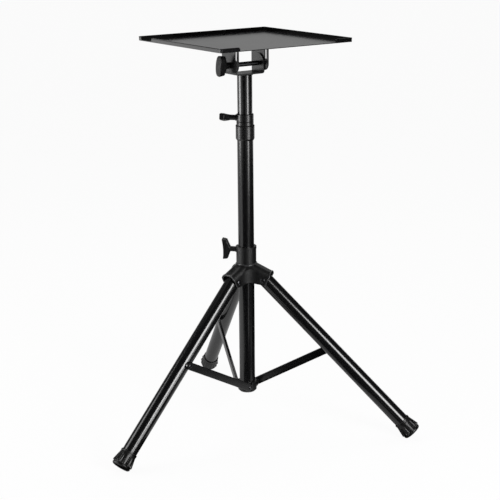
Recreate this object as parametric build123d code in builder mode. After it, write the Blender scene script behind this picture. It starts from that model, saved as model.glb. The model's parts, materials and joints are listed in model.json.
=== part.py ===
from build123d import *
from math import atan2, cos, degrees, hypot, radians, sin, tan
import os

# Portable stand for a projector: a folding tripod, a telescoping column and a tilting tray.
# Millimetres, +Z up, origin on the floor under the column, +X along the tray's tilt axis.

os.makedirs("parts", exist_ok=True)

# Tripod
leg_names = ["right", "rear", "left"]
first_leg_azimuth = -50.0
leg_d = 35.4
leg_wall = 1.0
leg_lean = 45.35
leg_span = 514.3
leg_above_pivot = 5.0
leg_pin_r = 3.0
pin_head_r = 6.0
pin_head_t = 2.4

# Ribbed rubber boots
boot_socket_depth = 26.0
boot_sole_t = 14.0
boot_sole_r = 19.0
boot_flare_r = 23.4
boot_flare_rise = 8.5
boot_neck_wall = 1.2
boot_rim_wall = 2.2
boot_rim_t = 4.0
boot_groove_count = 12
boot_groove_w = 3.2
boot_groove_depth = 1.5
boot_groove_length = 20.0

# Column
main_tube_d = 38.0
main_tube_wall = 1.2
main_tube_length = 661.0
upper_tube_wall = 1.2
upper_tube_length = 520.0
upper_tube_out = 93.2
slide_gap = 0.3

# Clamp collar at the top of the main tube
collar_sleeve_wall = 3.2
collar_sleeve_length = 33.0
collar_taper = 4.0
collar_ring_wall = 2.5
collar_ring_length = 29.0
collar_cap = 21.0
collar_groove_w = 1.6
collar_groove_depth = 0.7
collar_groove_rise = 11.0
collar_knob_rise = 19.0
collar_knob_turn = 70.0
collar_boss_out = 2.4

# Sliding leg hub
hub_wall = 4.7
hub_above_pivot = 79.0
hub_below_pivot = 5.0
hub_rim_t = 6.0
hub_rim_out = 0.7
hub_leg_gap = 3.3
hub_knob_rise = 69.5
hub_knob_turn = 10.0
hub_boss_out = 1.5
arm_side_gap = 0.8
arm_wall = 2.7
arm_roof_t = 3.2
arm_reach = 17.0
arm_end_rise = 18.5
arm_end_lip = 9.0
arm_roof_slope = 25.5
arm_foot_out = 6.0
arm_foot_drop = 12.0
arm_round = 15.0
web_hollow_r = 42.0

# Clamp knobs
knob_azimuth = 130.0
knob_wing = 50.0
knob_wing_depth = 19.5
knob_thickness = 18.0
knob_root_thickness = 12.5
knob_tip_thickness = 11.0
knob_end = 11.0
knob_neck_r = 6.0
knob_neck_length = 13.0
knob_undercut = 2.0
knob_face_hollow = 3.0
knob_edge = 2.0
boss_r = 7.5
stud_r = 3.5
stud_socket = 16.0

# Bottom bracket and struts
ground_clearance = 86.0
bracket_height = 26.0
bracket_wall = 3.6
bracket_floor = 5.0
bracket_round = 4.0
lug_pivot_r = 15.5
lug_pivot_rise = 16.0
lug_r = 9.8
lug_side_out = 0.3
lug_back = 13.0
lug_slot = 9.0
strut_w = 18.5
strut_t = 6.0
strut_wall = 1.5
strut_bend = 1.2
strut_leg_point = 234.7
strut_pin_r = 2.5
strut_pin_depth = 4.5
strut_head_r = 4.6
strut_head_t = 2.2
spacer_r = 6.0
pin_gap = 0.3

# Tilt yoke, bolt and tray bracket
yoke_t = 3.0
yoke_span = 80.0
yoke_depth = 47.0
yoke_pivot_rise = 19.0
yoke_bend = 6.0
bolt_r = 5.5
bolt_thread_r = 4.0
bolt_thread_length = 17.0
bolt_head_flats = 17.0
bolt_head_t = 7.0
tilt_knob_neck = 8.5
tilt_knob_turn = 8.0
plate_gap = 0.3
hanger_t = 3.0
hanger_front = 36.0
hanger_back = 29.0
hanger_drop = 15.0
hanger_rise = 52.8
hanger_bend = 5.0
hanger_round = 16.0
hanger_slot_w = 7.0
hanger_slot_edge = 5.5
hanger_slot_above_bolt = 12.0
hanger_slot_below_web = 7.0

# Tray
tray_length = 362.0
tray_width = 342.0
tray_height = 9.5
tray_t = 1.5
tray_corner = 4.0
lip_end_round = 5.0
front_lip = 50.0
notch_w = 44.0
notch_from_corner = 13.5

# Sizes that follow from the ones above
leg_r = leg_d / 2
main_r = main_tube_d / 2
upper_r = main_r - main_tube_wall - slide_gap
hub_r = main_r + slide_gap + hub_wall
leg_azimuths = [first_leg_azimuth + 120.0 * turn for turn in range(3)]

# Heights of the column, from the floor up
tube_bottom = ground_clearance + bracket_floor
tube_top = tube_bottom + main_tube_length
collar_top = tube_top + collar_cap
ring_bottom = collar_top - collar_ring_length
collar_bottom = ring_bottom - collar_sleeve_length
yoke_base = collar_top + upper_tube_out
bolt_z = yoke_base + yoke_t + yoke_pivot_rise
tray_bottom = bolt_z + hanger_rise

# The leg's pivot in its radial plane: distance from the axis and height
lean = radians(leg_lean)
pivot_r = hub_r + hub_leg_gap + leg_r
pivot_z = leg_span * cos(lean) + boot_sole_r * sin(lean)
hub_top = pivot_z + hub_above_pivot
hub_bottom = pivot_z - hub_below_pivot

# The strut's two ends in the same plane
lug_z = ground_clearance + lug_pivot_rise
strut_top_r = pivot_r + strut_leg_point * sin(lean)
strut_top_z = pivot_z - strut_leg_point * cos(lean)
strut_length = hypot(strut_top_r - lug_pivot_r, strut_top_z - lug_z)
strut_angle = degrees(atan2(strut_top_z - lug_z, strut_top_r - lug_pivot_r))
lug_side = main_r + lug_side_out
strut_inner = lug_side + plate_gap
strut_outer = strut_inner + strut_t


def radial_plane(azimuth, side=0.0):
    """Upright plane through the axis: x outwards, y up. side moves it counter-clockwise."""
    a = radians(azimuth)
    origin = (-side * sin(a), side * cos(a), 0)
    return Plane(origin=origin, x_dir=(cos(a), sin(a), 0), z_dir=(sin(a), -cos(a), 0))


def side_plane(azimuth, r, z, side):
    """Plane facing counter-clockwise at (r, z) of a leg's radial plane, at the given side offset."""
    a = radians(azimuth)
    origin = (r * cos(a) - side * sin(a), r * sin(a) + side * cos(a), z)
    return Plane(origin=origin, x_dir=(cos(a), sin(a), 0), z_dir=(-sin(a), cos(a), 0))


def leg_plane(azimuth):
    """Plane at a leg's pivot, with z down the leg and x square to it, on the leg's upper side."""
    a = radians(azimuth)
    down = (sin(lean) * cos(a), sin(lean) * sin(a), -cos(lean))
    upper = (cos(lean) * cos(a), cos(lean) * sin(a), sin(lean))
    return Plane(origin=(pivot_r * cos(a), pivot_r * sin(a), pivot_z), x_dir=upper, z_dir=down)


def outward_plane(azimuth, r, z, turn=0.0):
    """Plane facing away from the axis at radius r and height z. Its x points up, leaning by turn."""
    a, t = radians(azimuth), radians(turn)
    x_dir = (-sin(a) * sin(t), cos(a) * sin(t), cos(t))
    return Plane(origin=(r * cos(a), r * sin(a), z), x_dir=x_dir, z_dir=(cos(a), sin(a), 0))


def finish(builder, name):
    """Label a finished piece and write it."""
    builder.part.label = name
    export_step(builder.part, f"parts/{name}.step")


# Main tube, standing in the bottom bracket
with BuildPart() as main_tube:
    with BuildSketch(Plane.XY.offset(tube_bottom)):
        Circle(main_r)
        Circle(main_r - main_tube_wall, mode=Mode.SUBTRACT)
    extrude(amount=main_tube_length)
finish(main_tube, "main_tube")

# Lower sleeve of the collar, pressed over the tube and tapered at its foot
sleeve_r = main_r + collar_sleeve_wall
with BuildPart() as collar_sleeve:
    with BuildSketch(Plane.XZ):
        with BuildLine():
            Polyline(
                (main_r, collar_bottom),
                (main_r + collar_sleeve_wall / 3, collar_bottom),
                (sleeve_r, collar_bottom + collar_taper),
                (sleeve_r, ring_bottom),
                (main_r, ring_bottom),
                close=True,
            )
        make_face()
    revolve(axis=Axis.Z)
finish(collar_sleeve, "collar_sleeve")

# Clamp ring above it: it caps the tube, guides the upper tube and carries the clamp screw
ring_r = upper_r + slide_gap + collar_ring_wall
groove_z = ring_bottom + collar_groove_rise
collar_knob_z = ring_bottom + collar_knob_rise
with BuildPart() as collar_ring:
    with BuildSketch(Plane.XZ):
        with BuildLine():
            Polyline(
                (main_r, ring_bottom),
                (ring_r, ring_bottom),
                (ring_r, groove_z - collar_groove_w / 2),
                (ring_r - collar_groove_depth, groove_z),
                (ring_r, groove_z + collar_groove_w / 2),
                (ring_r, collar_top),
                (upper_r + slide_gap, collar_top),
                (upper_r + slide_gap, tube_top),
                (main_r, tube_top),
                close=True,
            )
        make_face()
    revolve(axis=Axis.Z)
    rim = collar_ring.edges().group_by(Axis.Z)[-1].sort_by(SortBy.RADIUS)[-1]
    chamfer(rim, length=collar_ring_wall / 2)
    with BuildSketch(outward_plane(knob_azimuth, upper_r + collar_ring_wall, collar_knob_z)):
        Circle(boss_r)
    extrude(amount=ring_r + collar_boss_out - upper_r - collar_ring_wall)
    with BuildSketch(outward_plane(knob_azimuth, 0, collar_knob_z)):
        Circle(stud_r + pin_gap)
    extrude(amount=ring_r + collar_boss_out, mode=Mode.SUBTRACT)
    with BuildSketch(Plane.XY.offset(tube_top)):
        Circle(upper_r + slide_gap)
    extrude(amount=collar_cap, mode=Mode.SUBTRACT)
finish(collar_ring, "collar_ring")

# Bottom bracket: a cup under the tube with a slotted lug towards each leg
cup_r = main_r + bracket_wall
bracket_top = ground_clearance + bracket_height
with BuildPart() as bottom_bracket:
    with BuildSketch(Plane.XY.offset(ground_clearance)):
        Circle(cup_r)
    extrude(amount=bracket_height)
    chamfer(bottom_bracket.edges().group_by(Axis.Z)[0], length=bracket_round)
    for azimuth in leg_azimuths:
        with BuildSketch(radial_plane(azimuth, -lug_back)):
            with Locations((lug_pivot_r, lug_z)):
                Circle(lug_r)
            with Locations((lug_pivot_r / 2, lug_z)):
                Rectangle(lug_pivot_r, 2 * lug_r)
        extrude(amount=-lug_back - lug_side)
    with BuildSketch(Plane.XY.offset(tube_bottom)):
        Circle(main_r)
    extrude(amount=bracket_height, mode=Mode.SUBTRACT)
    for azimuth in leg_azimuths:
        with BuildSketch(radial_plane(azimuth)):
            with Locations((cup_r + lug_r, lug_z)):
                Rectangle(2 * lug_r, 2 * bracket_height)
        extrude(amount=lug_slot / 2, both=True, mode=Mode.SUBTRACT)
        with BuildSketch(side_plane(azimuth, lug_pivot_r, lug_z, lug_side)):
            with Locations((cup_r - lug_r, 0)):
                Rectangle(2 * cup_r, 2 * bracket_height)
        extrude(amount=bracket_wall + strut_t, mode=Mode.SUBTRACT)
        with BuildSketch(side_plane(azimuth, lug_pivot_r, lug_z, lug_side - strut_pin_depth)):
            Circle(strut_pin_r)
        extrude(amount=strut_pin_depth, mode=Mode.SUBTRACT)
finish(bottom_bracket, "bottom_bracket")

# Struts: pressed channels beside the legs, on the counter-clockwise side, open towards the leg
for name, azimuth in zip(leg_names, leg_azimuths):
    foot = side_plane(azimuth, lug_pivot_r, lug_z, strut_inner)
    with BuildPart() as strut:
        with BuildSketch(foot):
            with Locations(Location((0, 0, 0), (0, 0, -strut_angle))):
                with Locations((strut_length / 2, 0)):
                    SlotCenterToCenter(strut_length, strut_w)
        extrude(amount=strut_t)
        back = strut.faces().filter_by(foot).sort_by(Axis(foot.origin, foot.z_dir))[-1]
        chamfer(back.edges(), length=strut_bend)
        with BuildSketch(foot):
            with Locations(Location((0, 0, 0), (0, 0, -strut_angle))):
                with Locations((strut_length / 2, 0)):
                    SlotCenterToCenter(strut_length, strut_w - 2 * strut_wall)
        extrude(amount=strut_t - strut_wall, mode=Mode.SUBTRACT)
        with BuildSketch(foot):
            with Locations(Location((0, 0, 0), (0, 0, -strut_angle))):
                Circle(strut_pin_r + pin_gap)
                with Locations((strut_length, 0)):
                    Circle(strut_pin_r)
        extrude(amount=strut_t, mode=Mode.SUBTRACT)
    finish(strut, f"strut_{name}")

    # Rivet that holds the strut's lower end to the bracket
    with BuildPart() as strut_pin:
        with BuildSketch(side_plane(azimuth, lug_pivot_r, lug_z, lug_side - strut_pin_depth)):
            Circle(strut_pin_r)
        extrude(amount=strut_pin_depth + 2 * plate_gap + strut_t)
        with BuildSketch(side_plane(azimuth, lug_pivot_r, lug_z, strut_outer + plate_gap)):
            Circle(strut_head_r)
        extrude(amount=strut_head_t)
        chamfer(strut_pin.faces().sort_by_distance((0, 0, lug_z))[-1].edges(), length=strut_head_t / 2)
    finish(strut_pin, f"strut_pin_{name}")

    # Screw at the upper end, with its spacer, stopping just short of the leg
    screw_inner = leg_r + pin_gap
    with BuildPart() as strut_screw:
        with BuildSketch(side_plane(azimuth, strut_top_r, strut_top_z, screw_inner)):
            Circle(spacer_r)
        extrude(amount=strut_outer - strut_wall - screw_inner)
        with BuildSketch(side_plane(azimuth, strut_top_r, strut_top_z, strut_outer - strut_wall)):
            Circle(strut_pin_r)
        extrude(amount=strut_wall)
        with BuildSketch(side_plane(azimuth, strut_top_r, strut_top_z, strut_outer)):
            Circle(strut_head_r)
        extrude(amount=strut_head_t)
    finish(strut_screw, f"strut_screw_{name}")

# Leg hub: a sleeve on the main tube with three hooded arms
arm_half = leg_r + arm_side_gap + arm_wall
arm_inner_half = leg_r + arm_side_gap
arm_end_r = pivot_r + arm_reach
arm_end_z = pivot_z + arm_end_rise
roof_slope = tan(radians(arm_roof_slope))
arm_root_r = 0.0
arm_root_z = arm_end_z + (arm_end_r - arm_root_r) * roof_slope
roof_drop = arm_roof_t / cos(radians(arm_roof_slope))
pocket_r = hub_r + hub_leg_gap / 3
pocket_z = arm_end_z + (arm_end_r - pocket_r) * roof_slope - roof_drop
pocket_end_r = arm_end_r + arm_reach
pocket_end_z = arm_end_z - (pocket_end_r - arm_end_r) * roof_slope - roof_drop
pocket_low_z = hub_bottom - arm_end_rise


def upper_long_edges(piece, azimuth):
    """The two edges along an arm's roof, found by their direction."""
    a = radians(azimuth)
    fall = radians(arm_roof_slope)
    along = Vector(cos(fall) * cos(a), cos(fall) * sin(a), -sin(fall))
    return [edge for edge in piece.edges() if abs((edge @ 1 - edge @ 0).normalized().dot(along)) > 0.999]


def hub_arm(azimuth):
    """One hood, solid: its side outline as wide as the leg and two walls, rounded along the roof."""
    with BuildPart() as arm:
        with BuildSketch(radial_plane(azimuth)):
            with BuildLine():
                Polyline(
                    (pivot_r + arm_foot_out, pivot_z - arm_foot_drop),
                    (arm_root_r, hub_bottom),
                    (arm_root_r, arm_root_z),
                    (arm_end_r, arm_end_z),
                    (arm_end_r, arm_end_z - arm_end_lip),
                    close=True,
                )
            make_face()
        extrude(amount=arm_half, both=True)
        fillet(upper_long_edges(arm, azimuth), radius=arm_round)
    return arm.part


def hub_pocket(azimuth):
    """The space inside one hood, open below and at its end, that the leg swings in."""
    with BuildPart() as pocket:
        with BuildSketch(radial_plane(azimuth)):
            with BuildLine():
                Polyline(
                    (pocket_r, pocket_low_z),
                    (pocket_r, pocket_z),
                    (pocket_end_r, pocket_end_z),
                    (pocket_end_r, pocket_low_z),
                    close=True,
                )
            make_face()
        extrude(amount=arm_inner_half, both=True)
        fillet(upper_long_edges(pocket, azimuth), radius=arm_round - arm_wall)
    return pocket.part


# Between two hoods the side walls run into each other along a wide hollow
web_apex = arm_half / sin(radians(60))
web_along = web_hollow_r / tan(radians(60))
web_tip_r = hypot(web_apex / 2 + web_along, arm_half)
web_top = arm_end_z + (arm_end_r - web_apex / 2) * roof_slope - arm_round / 2
web_fall = (roof_slope * web_along + arm_round / 2) / (web_tip_r - web_apex)


def hub_web(azimuth):
    """The hollowed corner between two hoods, its top sloping up to the sleeve."""
    a = radians(azimuth)
    with BuildPart() as web:
        with BuildSketch(Plane(origin=(0, 0, hub_bottom), x_dir=(cos(a), sin(a), 0), z_dir=(0, 0, 1))):
            with BuildLine():
                Polyline(
                    (0, 0),
                    (web_apex + web_along * cos(radians(60)), web_along * sin(radians(60))),
                    (web_apex + web_along * cos(radians(60)), -web_along * sin(radians(60))),
                    close=True,
                )
            make_face()
            with Locations((web_apex + web_hollow_r / sin(radians(60)), 0)):
                Circle(web_hollow_r, mode=Mode.SUBTRACT)
        extrude(amount=hub_top - hub_bottom)
        with BuildSketch(radial_plane(azimuth)):
            with BuildLine():
                Polyline(
                    (0, hub_bottom),
                    (web_tip_r, hub_bottom),
                    (web_tip_r, web_top - (web_tip_r - web_apex) * web_fall),
                    (0, web_top + web_apex * web_fall),
                    close=True,
                )
            make_face()
        revolve(axis=Axis.Z, mode=Mode.INTERSECT)
    return web.part


with BuildPart() as leg_hub:
    with BuildSketch(Plane.XY.offset(hub_bottom)):
        Circle(hub_r)
    extrude(amount=hub_top - hub_bottom)
    with BuildSketch(Plane.XY.offset(hub_top - hub_rim_t)):
        Circle(hub_r + hub_rim_out)
    extrude(amount=hub_rim_t)
    with BuildSketch(outward_plane(knob_azimuth, main_r, pivot_z + hub_knob_rise)):
        Circle(boss_r)
    extrude(amount=hub_r + hub_boss_out - main_r)
    for azimuth in leg_azimuths:
        add(hub_arm(azimuth))
        add(hub_web(azimuth + 60))
    for azimuth in leg_azimuths:
        add(hub_pocket(azimuth), mode=Mode.SUBTRACT)
        with BuildSketch(side_plane(azimuth, pivot_r, pivot_z, 0)):
            Circle(leg_pin_r)
        extrude(amount=2 * arm_half, both=True, mode=Mode.SUBTRACT)
    with BuildSketch(Plane.XY.offset(hub_bottom - arm_foot_drop)):
        Circle(main_r + slide_gap)
    extrude(amount=hub_top - hub_bottom + 2 * arm_foot_drop, mode=Mode.SUBTRACT)
    with BuildSketch(outward_plane(knob_azimuth, 0, pivot_z + hub_knob_rise)):
        Circle(stud_r + pin_gap)
    extrude(amount=hub_r + hub_boss_out, mode=Mode.SUBTRACT)
finish(leg_hub, "leg_hub")

# Legs with their pivot pins and boots
leg_tube_end = leg_span - boot_sole_t
boot_top = boot_sole_t + boot_socket_depth
boot_neck_r = leg_r + boot_neck_wall
boot_rim_r = leg_r + boot_rim_wall
boot_side_length = boot_top - boot_rim_t - boot_flare_rise
boot_side_angle = atan2(boot_flare_r - boot_neck_r, boot_side_length)
groove_middle = boot_flare_rise + boot_side_length / 2
groove_r = (boot_flare_r + boot_neck_r) / 2
for name, azimuth in zip(leg_names, leg_azimuths):
    axis_plane = leg_plane(azimuth)
    with BuildPart() as leg_tube:
        with BuildSketch(axis_plane.offset(-leg_above_pivot)):
            Circle(leg_r)
            Circle(leg_r - leg_wall, mode=Mode.SUBTRACT)
        extrude(amount=leg_above_pivot + leg_tube_end)
        with BuildSketch(side_plane(azimuth, pivot_r, pivot_z, 0)):
            Circle(leg_pin_r + pin_gap)
        extrude(amount=leg_d, both=True, mode=Mode.SUBTRACT)
    finish(leg_tube, f"leg_tube_{name}")

    with BuildPart() as leg_pin:
        with BuildSketch(side_plane(azimuth, pivot_r, pivot_z, -arm_half)):
            Circle(leg_pin_r)
        extrude(amount=2 * arm_half)
        for side, turn in ((arm_half, 1), (-arm_half, -1)):
            with BuildSketch(side_plane(azimuth, pivot_r, pivot_z, side)):
                Circle(pin_head_r)
            extrude(amount=turn * pin_head_t)
    finish(leg_pin, f"leg_pin_{name}")

    # The boot's outline is turned about the leg, then grooved lengthwise
    sole = axis_plane.offset(leg_span)
    profile = Plane(origin=sole.origin, x_dir=sole.x_dir, z_dir=sole.z_dir.cross(sole.x_dir) * -1)
    with BuildPart() as boot:
        with BuildSketch(profile):
            with BuildLine():
                Polyline(
                    (0, -boot_sole_t),
                    (0, 0),
                    (boot_sole_r, 0),
                    (boot_flare_r, -boot_flare_rise),
                    (boot_neck_r, boot_rim_t - boot_top),
                    (boot_rim_r, boot_rim_t - boot_top),
                    (boot_rim_r, -boot_top),
                    (leg_r, -boot_top),
                    (leg_r, -boot_sole_t),
                    close=True,
                )
            make_face()
        revolve(axis=Axis(sole.origin, sole.z_dir))
        for turn in range(boot_groove_count):
            around = radians(360.0 * turn / boot_groove_count)
            outward = sole.x_dir * cos(around) + sole.y_dir * sin(around)
            floor = sole.origin - sole.z_dir * groove_middle + outward * (groove_r - boot_groove_depth)
            along = sole.z_dir * cos(boot_side_angle) + outward * sin(boot_side_angle)
            facing = outward * cos(boot_side_angle) - sole.z_dir * sin(boot_side_angle)
            with BuildSketch(Plane(origin=floor, x_dir=along, z_dir=facing)):
                Rectangle(boot_groove_length, boot_groove_w)
            extrude(amount=2 * boot_groove_depth, mode=Mode.SUBTRACT)
    finish(boot, f"boot_{name}")


def wing_knob(plane, neck_length, socket_r, socket_depth):
    """T-shaped clamp knob on the plane: a waisted wing on a round neck, with a blind socket. The wing
    is thickest in its middle, and its outer face is hollowed."""
    wing_half = knob_wing / 2
    face = neck_length + knob_wing_depth
    upright = Plane(origin=plane.origin, x_dir=plane.x_dir, z_dir=plane.y_dir * -1)
    with BuildPart() as knob:
        with BuildSketch(upright):
            with BuildLine():
                outer = ThreePointArc((-wing_half, face), (0, face - knob_face_hollow), (wing_half, face))
                right = Line(outer @ 1, (wing_half - knob_undercut, face - knob_end))
                waist = TangentArc(right @ 1, (knob_neck_r, neck_length), tangent=(-1, -0.15))
                Line(waist @ 1, (-knob_neck_r, neck_length))
                left = Line(outer @ 0, (knob_undercut - wing_half, face - knob_end))
                TangentArc(left @ 1, (-knob_neck_r, neck_length), tangent=(1, -0.15))
            make_face()
        extrude(amount=knob_thickness / 2, both=True)
        with BuildSketch(Plane(origin=plane.origin, x_dir=plane.y_dir, z_dir=plane.x_dir)):
            with BuildLine():
                Polyline(
                    (-knob_root_thickness / 2, neck_length),
                    (-knob_thickness / 2, face - knob_end / 2),
                    (knob_edge - knob_thickness / 2, face),
                    (knob_thickness / 2 - knob_edge, face),
                    (knob_thickness / 2, face - knob_end / 2),
                    (knob_root_thickness / 2, neck_length),
                    close=True,
                )
            make_face()
        extrude(amount=knob_wing, both=True, mode=Mode.INTERSECT)
        with BuildSketch(plane):
            with BuildLine():
                tip = knob_tip_thickness / 2
                bulge = ThreePointArc((-wing_half, tip), (0, knob_thickness / 2), (wing_half, tip))
                Line(bulge @ 1, (wing_half, -tip))
                ThreePointArc((-wing_half, -tip), (0, -knob_thickness / 2), (wing_half, -tip))
                Line((-wing_half, -tip), bulge @ 0)
            make_face()
        extrude(amount=face, mode=Mode.INTERSECT)
        with BuildSketch(plane):
            Circle(knob_neck_r)
        extrude(amount=neck_length + knob_end)
        with BuildSketch(plane):
            Circle(socket_r)
        extrude(amount=socket_depth, mode=Mode.SUBTRACT)
    return knob


def stud(plane, inward):
    """Threaded stud of a clamp knob, reaching inward from the knob's face."""
    with BuildPart() as rod:
        with BuildSketch(plane.offset(-inward)):
            Circle(stud_r)
        extrude(amount=inward + stud_socket)
    return rod


# Clamp knobs of the collar and the hub, each on its stud
collar_knob_r = ring_r + collar_boss_out + plate_gap
collar_knob_plane = outward_plane(knob_azimuth, collar_knob_r, collar_knob_z, collar_knob_turn)
finish(wing_knob(collar_knob_plane, knob_neck_length, stud_r, stud_socket), "collar_knob")
finish(stud(collar_knob_plane, collar_knob_r - upper_r - 2 * slide_gap), "collar_stud")
hub_knob_r = hub_r + hub_boss_out + plate_gap
hub_knob_plane = outward_plane(knob_azimuth, hub_knob_r, pivot_z + hub_knob_rise, hub_knob_turn)
finish(wing_knob(hub_knob_plane, knob_neck_length, stud_r, stud_socket), "hub_knob")
finish(stud(hub_knob_plane, hub_knob_r - main_r - 2 * slide_gap), "hub_stud")

# Upper tube
with BuildPart() as upper_tube:
    with BuildSketch(Plane.XY.offset(yoke_base)):
        Circle(upper_r)
        Circle(upper_r - upper_tube_wall, mode=Mode.SUBTRACT)
    extrude(amount=-upper_tube_length)
finish(upper_tube, "upper_tube")

# Yoke on the tube: a strap bent up at both ends, rounded about the bolt
yoke_half = yoke_span / 2
yoke_top = bolt_z + yoke_depth / 2
with BuildPart() as yoke:
    with BuildSketch(Plane.XZ) as strap:
        with Locations((0, (yoke_base + yoke_top) / 2)):
            Rectangle(yoke_span, yoke_top - yoke_base)
        fillet(strap.vertices().group_by(Axis.Y)[0], radius=yoke_bend)
        with Locations((0, (yoke_base + yoke_t + yoke_top) / 2)):
            Rectangle(yoke_span - 2 * yoke_t, yoke_top - yoke_base - yoke_t, mode=Mode.SUBTRACT)
    extrude(amount=yoke_depth / 2, both=True)
    with BuildSketch(Plane.YZ):
        with Locations((0, bolt_z)):
            Circle(yoke_depth / 2)
        with Locations((0, (yoke_base + bolt_z) / 2)):
            Rectangle(yoke_depth, bolt_z - yoke_base)
    extrude(amount=yoke_span, both=True, mode=Mode.INTERSECT)
    with BuildSketch(Plane.YZ):
        with Locations((0, bolt_z)):
            Circle(bolt_r)
    extrude(amount=yoke_span, both=True, mode=Mode.SUBTRACT)
finish(yoke, "yoke")

# Hanger under the tray: a wider strap bent down outside the yoke, with a slot near its front edge
hanger_inner = yoke_half + plate_gap
hanger_half = hanger_inner + hanger_t
hanger_bottom = bolt_z - hanger_drop
hanger_web = tray_bottom - hanger_t
slot_bottom = bolt_z + hanger_slot_above_bolt
slot_top = hanger_web - hanger_slot_below_web
with BuildPart() as hanger:
    with BuildSketch(Plane.XZ) as strap:
        with Locations((0, (hanger_bottom + tray_bottom) / 2)):
            Rectangle(2 * hanger_half, tray_bottom - hanger_bottom)
        fillet(strap.vertices().group_by(Axis.Y)[-1], radius=hanger_bend)
        with Locations((0, (hanger_bottom + hanger_web) / 2)):
            Rectangle(2 * hanger_inner, hanger_web - hanger_bottom, mode=Mode.SUBTRACT)
    extrude(amount=hanger_front + hanger_back, both=True)
    with BuildSketch(Plane.YZ) as outline:
        with Locations(((hanger_back - hanger_front) / 2, (hanger_bottom + tray_bottom) / 2)):
            Rectangle(hanger_front + hanger_back, tray_bottom - hanger_bottom)
        fillet(outline.vertices().group_by(Axis.Y)[0], radius=hanger_round)
        with Locations((0, bolt_z)):
            Circle(bolt_r + pin_gap, mode=Mode.SUBTRACT)
        with Locations((hanger_slot_edge + hanger_slot_w / 2 - hanger_front, (slot_bottom + slot_top) / 2)):
            Rectangle(hanger_slot_w, slot_top - slot_bottom, mode=Mode.SUBTRACT)
    extrude(amount=2 * hanger_half, both=True, mode=Mode.INTERSECT)
finish(hanger, "tray_hanger")

# Tilt bolt through both straps: plain shank, hexagon head, thinner threaded end for the knob
with BuildPart() as tilt_bolt:
    with BuildSketch(Plane.YZ.offset(-hanger_half)):
        with Locations((0, bolt_z)):
            Circle(bolt_r)
    extrude(amount=2 * hanger_half + plate_gap)
    with BuildSketch(Plane.YZ.offset(hanger_half + plate_gap)):
        with Locations((0, bolt_z)):
            RegularPolygon(bolt_head_flats / 2, 6, major_radius=False)
    extrude(amount=bolt_head_t)
    with BuildSketch(Plane.YZ.offset(-hanger_half)):
        with Locations((0, bolt_z)):
            Circle(bolt_thread_r)
    extrude(amount=-bolt_thread_length)
finish(tilt_bolt, "tilt_bolt")

tilt_knob_x = -hanger_half - plate_gap
lean_over = radians(tilt_knob_turn)
wing_dir = (0, -sin(lean_over), cos(lean_over))
tilt_knob_plane = Plane(origin=(tilt_knob_x, 0, bolt_z), x_dir=wing_dir, z_dir=(-1, 0, 0))
tilt_knob = wing_knob(
    tilt_knob_plane, tilt_knob_neck, bolt_thread_r + pin_gap, bolt_thread_length + pin_gap
)
finish(tilt_knob, "tilt_knob")

# Tray: a folded pan, open along the middle of its front and notched near one corner
tray_inner_length = tray_length - 2 * tray_t
tray_inner_width = tray_width - 2 * tray_t
with BuildPart() as tray_pan:
    with BuildSketch(Plane.XY.offset(tray_bottom)):
        RectangleRounded(tray_length, tray_width, tray_corner)
    extrude(amount=tray_height)
    with BuildSketch(Plane.XY.offset(tray_bottom + tray_t)):
        RectangleRounded(tray_inner_length, tray_inner_width, tray_corner - tray_t)
    extrude(amount=tray_height, mode=Mode.SUBTRACT)
    with BuildSketch(Plane.XY.offset(tray_bottom + tray_t)):
        with Locations((0, -tray_width / 2)):
            Rectangle(tray_length - 2 * front_lip, 4 * tray_t)
        with Locations((-tray_length / 2, tray_width / 2 - notch_from_corner - notch_w / 2)):
            Rectangle(4 * tray_t, notch_w)
    extrude(amount=tray_height, mode=Mode.SUBTRACT)
    rims = tray_pan.edges().group_by(Axis.Z)[-1]
    fillet([edge for edge in rims if edge.length < 2 * tray_t], radius=lip_end_round)
finish(tray_pan, "tray_pan")
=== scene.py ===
# %% [markdown]
# # A portable projector stand
# The stand is a folding tripod with a telescoping column and a tilting tray, all of it black: coated
# steel tubes, moulded plastic joints and rubber boots. The CAD model gives every piece its place. This
# lesson gives the pieces their finishes and adds the small shapes that catch the light on the real one.

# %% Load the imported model
import json
from math import cos, pi, radians, sin

import bmesh
import bpy
import numpy as np
from mathutils import Matrix, Vector


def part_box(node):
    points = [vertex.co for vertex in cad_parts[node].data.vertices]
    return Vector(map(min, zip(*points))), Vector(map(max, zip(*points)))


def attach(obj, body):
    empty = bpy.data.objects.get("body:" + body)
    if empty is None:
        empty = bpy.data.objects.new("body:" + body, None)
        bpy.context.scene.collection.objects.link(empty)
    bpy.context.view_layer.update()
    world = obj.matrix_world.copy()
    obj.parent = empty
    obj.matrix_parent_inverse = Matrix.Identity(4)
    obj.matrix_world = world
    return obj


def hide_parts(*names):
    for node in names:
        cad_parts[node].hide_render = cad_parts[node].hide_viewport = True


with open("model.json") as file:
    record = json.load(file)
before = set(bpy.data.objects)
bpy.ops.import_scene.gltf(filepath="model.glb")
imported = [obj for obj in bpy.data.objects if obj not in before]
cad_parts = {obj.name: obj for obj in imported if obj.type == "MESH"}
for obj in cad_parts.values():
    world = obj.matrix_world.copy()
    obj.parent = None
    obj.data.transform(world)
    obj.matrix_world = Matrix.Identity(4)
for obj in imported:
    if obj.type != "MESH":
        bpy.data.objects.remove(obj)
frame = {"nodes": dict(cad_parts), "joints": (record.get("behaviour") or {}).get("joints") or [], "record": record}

nodes = frame["nodes"]
joints = {joint["name"]: joint for joint in frame["joints"]}
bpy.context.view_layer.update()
scene = bpy.context.scene
MM = 0.001

# %% [markdown]
# ## Camera
# A product photograph is taken with a long lens, so that the legs don't splay. The camera stands a
# little above the middle of the stand and looks slightly down, so the tray shows its floor. Its place
# is given as an angle round the column, an angle above the horizon and a distance, and the lens as a
# focal length in pixels of a 500 by 500 picture.

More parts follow.
